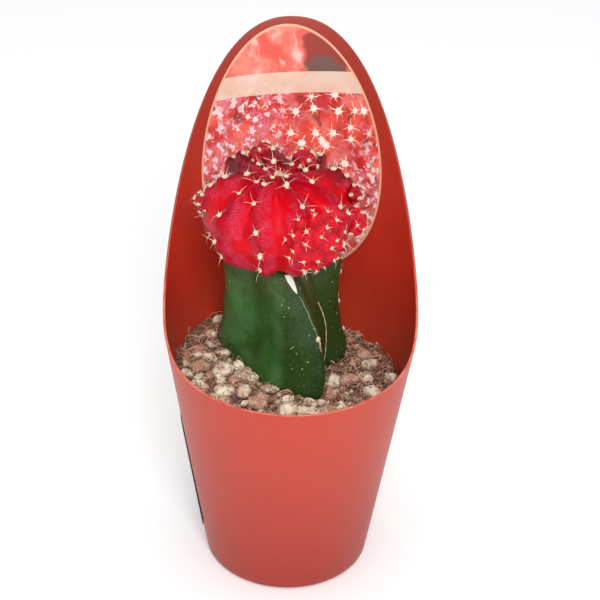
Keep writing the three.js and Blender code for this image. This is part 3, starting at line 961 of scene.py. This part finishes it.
def make_gravel():
    """Middling stones packed between the large ones, most of them at the front and on the left."""
    chance = random.Random(8)
    taken = []
    for node in sorted(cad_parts):
        if node.startswith(("pumice", "bark")):
            low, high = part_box(node)
            taken.append(((low + high) / 2 / MM, (high - low).length / MM / 3.4))
    sets = [("gravel_pale", PUMICE, "pumice", 30), ("gravel_red", BARK, "bark", 16)]
    for name, finish, slot, count in sets:
        bm = bmesh.new()
        bm.verts.layers.float.new("buried")
        made = 0
        for _ in range(GRAVEL_TRIES):
            size = chance.uniform(1.4, 2.7)
            x, y = scattered(chance, SOIL_RADIUS - size)
            packed = (y < -5 and x < 8) or (x < -9 and y < 5)
            if made == count or (not packed and chance.random() < 0.93):
                continue
            place = Vector((x, y, soil_height(x, y) + size * 0.3))
            crowded = any((place - spot).xy.length < (size + reach) * 0.8 for spot, reach in taken)
            if stem_gap(x, y) < size * 0.8 or crowded:
                continue
            taken.append((place, size))
            made += 1
            turn = Quaternion(any_way(chance), chance.uniform(0, TURN))
            sizes = (size * 1.1, size * chance.uniform(0.75, 1.0), size * chance.uniform(0.6, 0.85))
            chipped(bm, place, sizes, turn, made * 1.7, chance)
        settle(name, bm, [finish], slot, sharp=70)


STONE_SWELL = 1.38  # makes up for what rounding and breaking take off a stone


def make_stones():
    """The large stones, each rounded, broken and pitted over its own solid, with painted shade on its lower
    part.
    """
    kinds = {"pumice": (PUMICE, "pumice", 0.16), "bark_chip": (BARK, "bark", 0.26)}
    for node in sorted(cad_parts):
        kind = node.rsplit("_", 1)[0]
        if kind not in kinds:
            continue
        finish, slot, lumps = kinds[kind]
        bm = bmesh.new()
        bm.from_mesh(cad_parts[node].data)
        scaled(bm, 1 / MM)
        bmesh.ops.remove_doubles(bm, verts=bm.verts, dist=0.01)
        low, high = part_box(node)
        centre = (low + high) / 2 / MM
        swell = Matrix.Translation(centre) @ Matrix.Scale(STONE_SWELL, 4) @ Matrix.Translation(-centre)
        bmesh.ops.transform(bm, matrix=swell, verts=bm.verts)
        rounded(bm, 4)
        chance = random.Random(node)
        break_faces(bm.verts, centre, (high - low) / MM / 2 * STONE_SWELL, 9, chance)
        size = (high - low).length / MM / 2
        seed = int(node[-2:]) * 1.37
        lumpy(bm.verts, centre, size, lumps, seed)
        for v in bm.verts:
            pit = noise.voronoi(v.co / 1.3 + Vector((seed, 0, 0)))[0][0]
            depth = 0.28 * max(0, 1 - (pit / 0.42) ** 2) * (0.4 + 0.6 * max(0, rough(v.co, 2.5, seed)))
            v.co -= (v.co - centre).normalized() * depth
        shade_low_parts(bm.verts, bm.verts.layers.float.new("buried"))
        settle(node + "_stone", bm, [finish], slot, [node], sharp=70)


def rounded(bm, levels):
    """Catmull-Clark rounding of a faceted shape."""
    piece = made_of("rounding", bm)
    smooth = piece.modifiers.new("smooth", "SUBSURF")
    smooth.levels = smooth.render_levels = levels
    fine = worked_out(piece)
    bm.clear()
    bm.from_mesh(fine)
    bpy.data.meshes.remove(piece.data)
    bpy.data.meshes.remove(fine)


# ------------------------------------------------------------------ rootstock


def stem_reach(angle, share):
    """How far the stem's skin lies from its axis, and how near that is to a wing's crest (0 to 1)."""
    for w in range(3):
        start = crest_angle(w, share)
        span = (crest_angle((w + 1) % 3, share) - start) % 360
        past = (angle - start) % 360
        if past > span:
            continue
        t = past / span
        steep = 2.6 if w == 1 and t < 0.5 else 0.75 if w == 0 and t > 0.5 else 1.0
        lobe = ((1 + cos(TURN * t)) / 2) ** (WING_SHARPNESS * steep)
        lengths = WING_LENGTHS[w] if t < 0.5 else WING_LENGTHS[(w + 1) % 3]
        tip = smooth_through(WING_SHARES, lengths, share)
        valley = smooth_through(WING_SHARES, VALLEY, share)
        if w == 0:
            valley += 5.0 * exp(-((share / 0.34) ** 2)) * sin(pi * t**1.25)
        return valley + (tip - valley) * lobe, lobe
    return smooth_through(WING_SHARES, VALLEY, share), 0


def stem_axis(share):
    above = max(share, 0)
    lean = (1 + above) * above / 2
    x = STEM_FOOT[0] + (STEM_HEAD[0] - STEM_FOOT[0]) * lean
    y = STEM_FOOT[1] + (STEM_HEAD[1] - STEM_FOOT[1]) * lean
    drop = STEM_HEIGHT if share >= 0 else STEM_BURIAL / -WING_SHARES[0]
    return Vector((x, y, SOIL_LEVEL + share * drop))


def stem_skin(angle, share, proud=0.0):
    """A place on the stem's skin, or proud of it."""
    reach = stem_reach(angle, share)[0] + proud
    return stem_axis(share) + around(radians(angle), reach)


def crest_angle(wing, share):
    """The bearing of a wing's crest at a share of the stem's height."""
    above = max(share, 0)
    if wing == 1:
        return WING_BEARINGS[1] - 8 * above + 12 * sin(pi * above)
    return WING_BEARINGS[wing] + STEM_TWIST * above


def make_rootstock():
    rows = 110
    profile = [(0, 0), (0.5, 0)] + [(1, k / rows) for k in range(rows + 1)] + [(0.6, 1), (0.3, 1), (0, 1)]
    bm = spun(profile, 300)
    crest_layer = bm.verts.layers.float.new("crest")
    height_layer = bm.verts.layers.float.new("height")
    first = WING_SHARES[0]
    for v in bm.verts:
        radius = v.co.xy.length
        share = first + v.co.z * (1 - first)
        angle = degrees(atan2(v.co.y, v.co.x))
        reach, lobe = stem_reach(angle, share) if radius > 0.01 else (0, 0)
        if radius < 0.99:
            reach *= radius
        trimmed = max(0, share - 0.93) / 0.07
        reach -= 2.0 * trimmed**2 * lobe * radius
        out = around(radians(angle))
        place = stem_axis(share) + around(radians(angle), reach)
        swell = 0.3 * rough(place, 6, 1) + 0.12 * rough(place, 2.2, 2)
        wave = 0.45 * lobe * rough(Vector((0, 0, place.z)), 4.5, 7 + angle // 120)
        v.co = place + out * (swell + wave) * min(radius, 1)
        v[crest_layer] = lobe
        v[height_layer] = share
    for face in bm.faces:
        if face.calc_center_median().z > SOIL_LEVEL + STEM_HEIGHT - 0.01:
            face.material_index = 1
    settle("rootstock_stem", bm, [green_skin(), CUT], "green_skin", ["rootstock"], sharp=60)


FRONT_WING = 1
CUT_DEPTH = 0.14  # the share of the stem's height that the pale cut runs down


def make_graft_cut():
    """The sliver of pale flesh below the head, where the front wing was trimmed."""
    bm = bmesh.new()
    bmesh.ops.create_grid(bm, x_segments=4, y_segments=14, size=1)
    for v in bm.verts:
        share = 1.0 - CUT_DEPTH * (1 - v.co.y) / 2
        crest = crest_angle(FRONT_WING, share)
        width = 1.5 * sin(pi * min(1, (v.co.y + 1) / 2 * 0.55 + 0.02)) ** 0.8
        across = v.co.x * width / 2 / stem_reach(crest, share)[0]
        v.co = stem_skin(crest - 2 + degrees(across), share, 0.25)
    axis = stem_axis(0.9)
    for v in doubled(bm):
        v.co += Vector((axis.x - v.co.x, axis.y - v.co.y, 0)).normalized() * 0.5
    outward(bm)
    settle("graft_cut", bm, [CUT], "green_skin", sharp=60)


def make_crest_cork():
    """Corky lines along the wings' crests."""
    lines = []
    for wing, low, high in ((1, 0.42, 0.84), (0, 0.25, 0.8), (2, 0.3, 0.85)):
        path = []
        for k in range(25):
            share = low + (high - low) * k / 24
            wander = 2.0 * rough(Vector((k * 0.4, wing, 0)), 1, 3)
            place = stem_skin(crest_angle(wing, share) + wander, share, 0.12)
            path.append((place, 0.5 + 0.5 * abs(rough(Vector((k, wing, 2)), 1.3))))
        lines.append(path)
    cork = fibre("cork", (128, 122, 84), (186, 176, 132), 1.2)
    strands("crest_cork", lines, 0.26, cork, "green_skin", 1)


def make_stem_areoles():
    """The buttons on the wings' crests, and the two loose threads beside the front one."""
    spots = [(FRONT_WING, 0.49, 0.1, 1.0)]
    spots += [(wing, share, 0.05, 0.8) for wing in (0, 2) for share in (0.22, 0.5, 0.78)]
    bm = bmesh.new()
    for number, (wing, share, proud, size) in enumerate(spots):
        angle = crest_angle(wing, share)
        place = stem_skin(angle, share, proud)
        areole_pad(bm, place, around(radians(angle)), UP, 1.5 * size, 1.15 * size, number)
    settle("stem_areoles", bm, [FELT], "green_skin", sharp=180)
    front = stem_skin(crest_angle(FRONT_WING, 0.49), 0.49, 0.1) + Vector((0.5, -0.5, -0.4))
    short = [(front + Vector((0.08 * k, 0, -0.55 * k)), 1 - 0.13 * k) for k in range(6)]
    long = []  # hangs from the skin beside the front wing and reaches the mix
    for k in range(19):
        proud = 0.1 + 0.9 * sin(pi * k / 18)
        place = stem_skin(350 + 5 * sin(k * 0.3), 0.62 - 0.034 * k, proud)
        long.append((place, 1 - 0.03 * k))
    strands("stem_threads", [short, long], 0.3, SPINE, "green_skin", 1)


# ------------------------------------------------------------------ areoles and spines


PAD_HEIGHT = 0.36  # these are shares of a pad's width
PAD_LIFT = 0.1
PAD_LUMPS = 0.13
SPINE_THICKNESS = 0.13
HAIR_THICKNESS = 0.1
HAIRS = 9


def areole_pad(bm, place, out, along, length, width, seed):
    """One felted pad, longer along its rib."""
    side = along.cross(out).normalized()
    along = out.cross(side).normalized()
    turn = Matrix((side * width / 2, along * length / 2, out * width * PAD_HEIGHT))
    turn = turn.transposed().to_4x4()
    turn.translation = place + out * width * PAD_LIFT
    made = bmesh.ops.create_uvsphere(bm, u_segments=12, v_segments=7, radius=1, matrix=turn)
    for v in made["verts"]:
        v.co += (v.co - place).normalized() * width * PAD_LUMPS * rough(v.co, 0.45, seed)


def spine_path(root, out, direction, length, bow):
    """A spine that leaves its areole and bends back towards the skin."""
    steps = 6
    path = []
    place = root.copy()
    heading = (direction + out * 0.35).normalized()
    for k in range(steps + 1):
        share = k / steps
        path.append((place.copy(), max(0.12, (1 - share) ** 0.7)))
        place += heading * length / steps
        heading = (heading - out * bow / steps).normalized()
    return path


def grow_areoles(name, spots, pad, reach, spines, seed, spine):
    """Pads, spines and wool at each spot: (place, outward direction, direction along the rib, size)."""
    chance = random.Random(seed)
    bm = bmesh.new()
    paths = []
    wool = []
    for number, (place, out, along, size) in enumerate(spots):
        width = pad * size * chance.uniform(0.85, 1.15)
        areole_pad(bm, place, out, along, width * chance.uniform(1.15, 1.5), width, seed + number)
        count = chance.randint(*spines)
        start = chance.uniform(0, TURN)
        for k in range(count):
            turn = Quaternion(out, start + TURN * (k + chance.uniform(-0.25, 0.25)) / count)
            direction = turn @ along
            tilt = chance.uniform(0.25, 0.75)
            lean = (direction + out * tilt).normalized()
            root = place + out * width * 0.25 + direction * width * 0.2
            length = reach * size * chance.uniform(0.4, 1.25)
            paths.append(spine_path(root, out, lean, length, chance.uniform(0.1, 1.5)))
        for _ in range(HAIRS):
            turn = Quaternion(out, chance.uniform(0, TURN))
            direction = (turn @ along + out * chance.uniform(0.3, 1.6)).normalized()
            root = place + (turn @ along) * width * 0.3 + out * width * 0.2
            hair = direction * width
            wool.append([(root, 1), (root + hair * 0.3, 0.7), (root + hair * 0.5, 0.2)])
    settle(name + "_areoles", bm, [FELT], "red_skin", sharp=180)
    strands(name + "_spines", paths, SPINE_THICKNESS, spine, "red_skin", 1)
    strands(name + "_wool", wool, HAIR_THICKNESS, FELT, "red_skin")


# ------------------------------------------------------------------ head and young heads


def elevation_of(direction):
    return asin(max(-1, min(1, direction.z)))


def rib_bearings(latitude):
    """Each rib's bearing at a latitude, in degrees from the front."""
    share = min(max(latitude, 0), 60) / 50
    return [low + (high - low) * share for low, high in RIBS]


def head_turn(elevation):
    """How far the ribs lean towards the front at an elevation, as a turn."""
    share = max(elevation, 0) / radians(62)
    axis = Quaternion(UP, HEAD_TILT_BEARING) @ Vector((1, 0, 0))
    return Quaternion(axis, HEAD_TILT * min(share, 1.45) ** 1.6)


def rib_frame(direction):
    """A direction from the head's middle as its latitude and bearing about the growing point."""
    turned = head_turn(elevation_of(direction)).inverted() @ direction
    latitude = degrees(elevation_of(turned))
    return latitude, degrees(atan2(turned.x, -turned.y))


def from_rib_frame(latitude, bearing):
    """The direction that rib_frame gives this latitude and bearing."""
    low, turn = radians(latitude), radians(bearing)
    aim = Vector((cos(low) * sin(turn), -cos(low) * cos(turn), sin(low)))
    direction = aim.copy()
    for _ in range(12):
        direction = (direction + head_turn(elevation_of(direction)) @ aim).normalized()
    return direction


FURROW_LATITUDES = (-90, -60, -35, -10, 15, 40, 60, 75, 90)
FURROW_DEPTHS = (0.0, 0.08, 0.13, 0.12, 0.14, 0.19, 0.23, 0.2, 0.05)


def head_shape(direction):
    """(stretch of the head's radius, furrow share, latitude) in a direction from its middle."""
    latitude, bearing = rib_frame(direction)
    ribs = rib_bearings(latitude)
    furrow = 1.0
    for k, rib in enumerate(ribs):
        span = (ribs[(k + 1) % len(ribs)] - rib) % 360
        past = (bearing - rib) % 360
        if past <= span:
            skew = 1.0 if k == 0 else 1.9 if k == 8 else 1.5
            furrow = sin(pi * (past / span) ** skew) ** 1.1
            break
    depth = smooth_through(FURROW_LATITUDES, FURROW_DEPTHS, latitude)
    girth = cos(radians(latitude))
    stretch = 1 - depth * furrow * min(1, girth * 2.2)
    dip = 0.17 * exp(-((girth / 0.26) ** 2)) if latitude > 0 else 0
    return stretch - dip, furrow, latitude


def head_spots():
    """Where the head's areoles sit, as (direction, size)."""
    rows = {
        0: (84, 70, 46, 15, -9, -31),
        1: (71, 43, 12, -16, -32),
        2: (82, 62, 26, 19, -12, -34),
        7: (68, 48, 30, 12, -8, -28),
        8: (70, 50, 20, -10, -30),
    }
    chance = random.Random(3)
    spots = []
    for k in range(len(RIBS)):
        for latitude in rows.get(k, (82, 66, 50, 33, 15, -4, -22, -38)):
            if k not in rows:
                latitude += chance.uniform(-4, 4)
            bearing = rib_bearings(latitude)[k] + chance.uniform(-1.5, 1.5)
            size = 1.0 if latitude < 60 else 1.05
            spots.append((from_rib_frame(latitude, bearing), size, latitude))
    return spots


def head_place(direction, bumps):
    """The head's skin in a direction, with its tubercles."""
    stretch, furrow, latitude = head_shape(direction)
    for spot, below, above in bumps:
        near = direction.dot(spot)
        if near < 0.93:
            continue
        rise = 0.12 if spot.y > -0.15 and spot.z > 0.5 else 0.05
        stretch += rise * exp(-((direction - below).length / 0.15) ** 2)
        stretch -= 0.03 * exp(-((direction - above).length / 0.09) ** 2)
    margin = 1.0
    if latitude < -20:
        margin += 0.04 * (1 - furrow) * min(1, (-20 - latitude) / 25)
    x = direction.x * HEAD_RADIUS * stretch
    y = direction.y * HEAD_RADIUS * stretch
    z = direction.z * HEAD_HALF_HEIGHT * stretch * margin * (0.945 if direction.z < 0 else 1)
    return HEAD_CENTRE + Vector((x, y, z)), furrow, latitude


def make_head():
    spots = head_spots()
    bumps = []
    for direction, _, _ in spots:
        down = (direction - UP * 0.13).normalized()
        up = (direction + UP * 0.1).normalized()
        bumps.append((direction, down, up))
    bm, furrow_layer, crown_layer = ball(320, 170)
    for v in bm.verts:
        direction = v.co.normalized()
        place, furrow, latitude = head_place(direction, bumps)
        swell = 0.28 * rough(place, 5, 3) + 0.1 * rough(place, 1.8, 6)
        v.co = place + direction * swell
        v[furrow_layer] = furrow
        behind = clamped((direction.y + 0.3) / 0.35)
        middle = clamped((latitude - 58) / 18) * 0.6
        shoulder = clamped((direction.z - 0.48) / 0.3) * 0.35
        v[crown_layer] = max(middle, shoulder, behind * clamped((direction.z - 0.25) / 0.4))
    skin = red_skin("red_skin", (204, 3, 24), (172, 6, 32), (104, 4, 16), 0.5)
    settle("scion_head", bm, [skin], "red_skin", ["scion"], sharp=180)
    pads = []
    for direction, size, _ in spots:
        place = head_place(direction, bumps)[0]
        ahead = head_place((direction + UP * 0.02).normalized(), bumps)[0]
        side = Quaternion(UP, 0.02) @ direction
        beside = head_place(side, bumps)[0]
        along = (ahead - place).normalized()
        out = (beside - place).cross(along).normalized()
        if out.dot(direction) < 0:
            out = -out
        pads.append((place, out, along, size))
    grow_areoles("scion", pads, 1.04, 2.7, (3, 6), 21, SPINE)


TUBERCLE = 0.2  # how far a young head's tubercles rise, as a share of its radius


def young_head(name, node, centre, out, radius, count, skin, seed, flat):
    """A young head: a ball packed with tubercles, each with its areole."""
    bm, furrow_layer, _ = ball(110, 64)
    turn = UP.rotation_difference(out)
    chance = random.Random(seed)
    golden = pi * (3 - sqrt(5))
    tips = []
    for k in range(count):
        high = 1 - 1.45 * (k + 0.4) / count
        ring = sqrt(max(0, 1 - high * high))
        tip = Vector((ring * cos(golden * k), ring * sin(golden * k), high))
        shift = Vector((chance.uniform(-1, 1), chance.uniform(-1, 1), chance.uniform(-1, 1)))
        tips.append((tip + shift * 0.5 / sqrt(count)).normalized())
    spread = 1.55 / sqrt(count)

    def skin_place(direction):
        lift = 0.0
        for tip in tips:
            near = (direction - tip).length / spread
            if near < 2.5:
                lift = max(lift, exp(-(near**2.2)))
        reach = radius * (1 - TUBERCLE + TUBERCLE * 1.2 * lift)
        local = Vector((direction.x * reach, direction.y * reach, direction.z * reach * flat))
        return centre + turn @ local, lift

    for v in bm.verts:
        direction = v.co.normalized()
        place, lift = skin_place(direction)
        v.co = place + (turn @ direction) * 0.07 * rough(place, 0.9, seed)
        v[furrow_layer] = 1 - lift
    settle(name, bm, [skin], "offset_skin", [node], sharp=180)
    spots = []
    for k, tip in enumerate(tips):
        place = skin_place(tip)[0]
        away = (turn @ tip).normalized()
        along = (out - away * out.dot(away)).normalized() if k else away.orthogonal()
        spots.append((place, away, along, 1.0))
    return spots


def make_young_heads():
    # on the young heads the gaps between tubercles take the darker first tone, as painted shade
    bright = red_skin("young_skin", (164, 5, 20), (208, 8, 28), (184, 8, 26), 0.2)
    maroon = red_skin("maroon_skin", (140, 4, 18), (184, 10, 30), (150, 5, 20), 0.2)
    heads = [
        ("young_front", "offset_front", 6.6, 29, bright, 0.66),
        ("young_right", "offset_right", 3.3, 13, bright, 0.9),
        ("young_right_upper", "offset_right_upper", 2.3, 9, maroon, 0.9),
        ("young_left", "offset_left", 2.4, 9, maroon, 0.9),
        ("young_crown_left", "offset_crown_left", 3.7, 13, maroon, 0.85),
        ("young_crown_right", "offset_crown_right", 3.1, 10, maroon, 0.85),
    ]
    bright_spots = []
    dark_spots = []
    for number, (name, node, radius, count, skin, flat) in enumerate(heads):
        low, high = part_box(node)
        middle = (low + high) / 2 / MM
        out = (middle - HEAD_CENTRE).normalized()
        centre = middle - out * radius * (0.4 if "crown" in name else 0.1)
        centre -= Vector((0.16 * (middle.x - HEAD_CENTRE.x), 0, 0)) if "crown" in name else Vector()
        spots = bright_spots if skin is bright else dark_spots
        spots += young_head(name, node, centre, out, radius, count, skin, 40 + number, flat)
    grow_areoles("young", bright_spots, 0.66, 1.45, (3, 5), 77, SPINE)
    brown = fibre("spine_brown", (70, 34, 26), (190, 140, 112), 1.6)
    grow_areoles("dark_young", dark_spots, 0.8, 1.9, (3, 5), 78, brown)


# ------------------------------------------------------------------ camera, floor and light


def make_camera():
    tilt, bearing, roll = radians(30.59), radians(2.147), radians(1.456)
    distance, aside, aim = 360.0, 1.975, 70.25
    level = cos(tilt)
    forward = Vector((level * sin(bearing), level * cos(bearing), -sin(tilt)))
    target = Vector((aside * cos(bearing), -aside * sin(bearing), aim))
    camera = placed("camera", bpy.data.cameras.new("camera"))
    camera.data.lens = 93.1
    camera.data.sensor_width = 36
    camera.data.clip_start = 0.01
    camera.location = (target - forward * distance) * MM
    turn = forward.to_track_quat("-Z", "Y") @ Quaternion((0, 0, 1), roll)
    camera.rotation_euler = turn.to_euler()
    bpy.context.scene.camera = camera


def area_light(name, place, aim, size, power):
    lamp = bpy.data.lights.new(name, "AREA")
    lamp.shape = "DISK"
    lamp.size = size
    lamp.energy = power
    light = placed(name, lamp)
    light.location = place
    light.rotation_euler = (Vector(aim) - Vector(place)).to_track_quat("-Z", "Y").to_euler()


def make_stage():
    bm = bmesh.new()
    bmesh.ops.create_grid(bm, x_segments=1, y_segments=1, size=6)
    floor = made_of("floor", bm)
    bm.free()
    f = Finish("floor_white", Specular_IOR_Level=0.1, Roughness=0.9)
    f.vary(Base_Color=(0.97, 0.97, 0.97, 1))
    floor.data.materials.append(f.material)
    world = bpy.data.worlds.new("studio")
    world.use_nodes = True
    glow = world.node_tree.nodes["Background"].inputs
    glow["Color"].default_value = (1, 1, 1, 1)
    glow["Strength"].default_value = 0.46
    bpy.context.scene.world = world
    area_light("key", place=(0.06, -0.68, 0.6), aim=(0, 0, 0.07), size=0.4, power=5.0)
    sky = placed("sky", bpy.data.lights.new("sky", "SUN"))
    sky.data.angle = radians(70)
    sky.data.energy = 1.25
    bpy.context.scene.view_settings.view_transform = "Standard"


FELT = areole_felt()
PUMICE = pumice_stone()
BARK = bark_chip()
CUT = cut_flesh()
SPINE = fibre("spine_horn", (206, 146, 116), (250, 232, 206), 1.3)

make_camera()
make_stage()
make_pot()
make_picture_label()
make_care_label()
make_potting_mix()
make_fibres()
make_crumbs()
make_gravel()
make_stones()
make_rootstock()
make_graft_cut()
make_crest_cork()
make_stem_areoles()
make_head()
make_young_heads()
